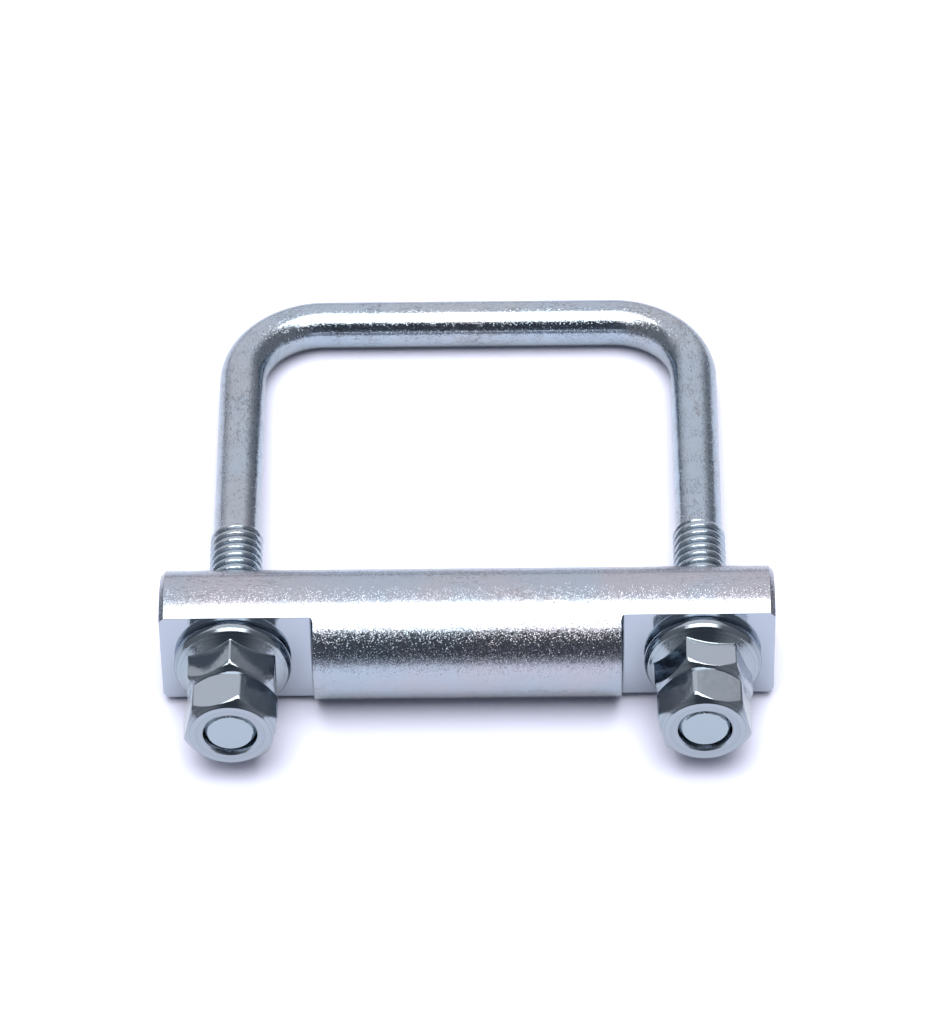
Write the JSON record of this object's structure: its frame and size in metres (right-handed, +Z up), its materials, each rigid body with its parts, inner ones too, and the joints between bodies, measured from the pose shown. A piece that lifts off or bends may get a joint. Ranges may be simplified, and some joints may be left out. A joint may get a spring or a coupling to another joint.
{
  "type": "square u-bolt clamp",
  "caption": "Square-bend U-bolt closed by a round clamp bar, held on each threaded leg by a flange nut and a jammed lock nut.",
  "frame": {"origin": "middle of the clamp bar, on its axis", "axes": "+X along the clamp bar, +Y towards the bow, +Z up; the clamp lies as on a table, touching it with its bar and its bow, so the legs fall 4.67 degrees towards the bow"},
  "size_m": [0.0898, 0.0887, 0.019],
  "materials": {
    "zinc_rod": "bright zinc plated rod, satin, faintly stained",
    "zinc_bar": "bright zinc plated round bar, drawn skin with milled flats",
    "zinc_nut": "bright zinc plated, polished, faintly blue"
  },
  "bodies": {
    "u_bolt": {"u_bolt": "zinc_rod"},
    "clamp_bar": {"clamp_bar": "zinc_bar"},
    "flange_nut_left": {"flange_nut_left": "zinc_nut"},
    "flange_nut_right": {"flange_nut_right": "zinc_nut"},
    "lock_nut_left": {"lock_nut_left": "zinc_nut"},
    "lock_nut_right": {"lock_nut_right": "zinc_nut"}
  },
  "joints": [
    {"name": "bar_travel", "type": "slide", "parent": "u_bolt", "child": "clamp_bar", "axis": [0, 0.9967, -0.0815], "range_m": [0, 0.024]},
    {"name": "flange_nut_left_turn", "type": "hinge", "parent": "clamp_bar", "child": "flange_nut_left", "pos_m": [-0.03438, -0.00456, -0.00028], "axis": [0, 0.9967, -0.0815], "range_deg": [0, 6124]},
    {"name": "lock_nut_left_turn", "type": "hinge", "parent": "clamp_bar", "child": "lock_nut_left", "pos_m": [-0.03438, -0.01253, 0.00037], "axis": [0, 0.9967, -0.0815], "range_deg": [0, 6124]},
    {"name": "flange_nut_right_turn", "type": "hinge", "parent": "clamp_bar", "child": "flange_nut_right", "pos_m": [0.03438, -0.00456, -0.00028], "axis": [0, 0.9967, -0.0815], "range_deg": [0, 6124]},
    {"name": "lock_nut_right_turn", "type": "hinge", "parent": "clamp_bar", "child": "lock_nut_right", "pos_m": [0.03438, -0.01253, 0.00037], "axis": [0, 0.9967, -0.0815], "range_deg": [0, 6124]}
  ],
  "couplings": [
    {"joint": "flange_nut_left_turn", "follows": "bar_travel", "rad_per_m": 4452.7},
    {"joint": "lock_nut_left_turn", "follows": "bar_travel", "rad_per_m": 4452.7},
    {"joint": "flange_nut_right_turn", "follows": "bar_travel", "rad_per_m": 4452.7},
    {"joint": "lock_nut_right_turn", "follows": "bar_travel", "rad_per_m": 4452.7}
  ]
}
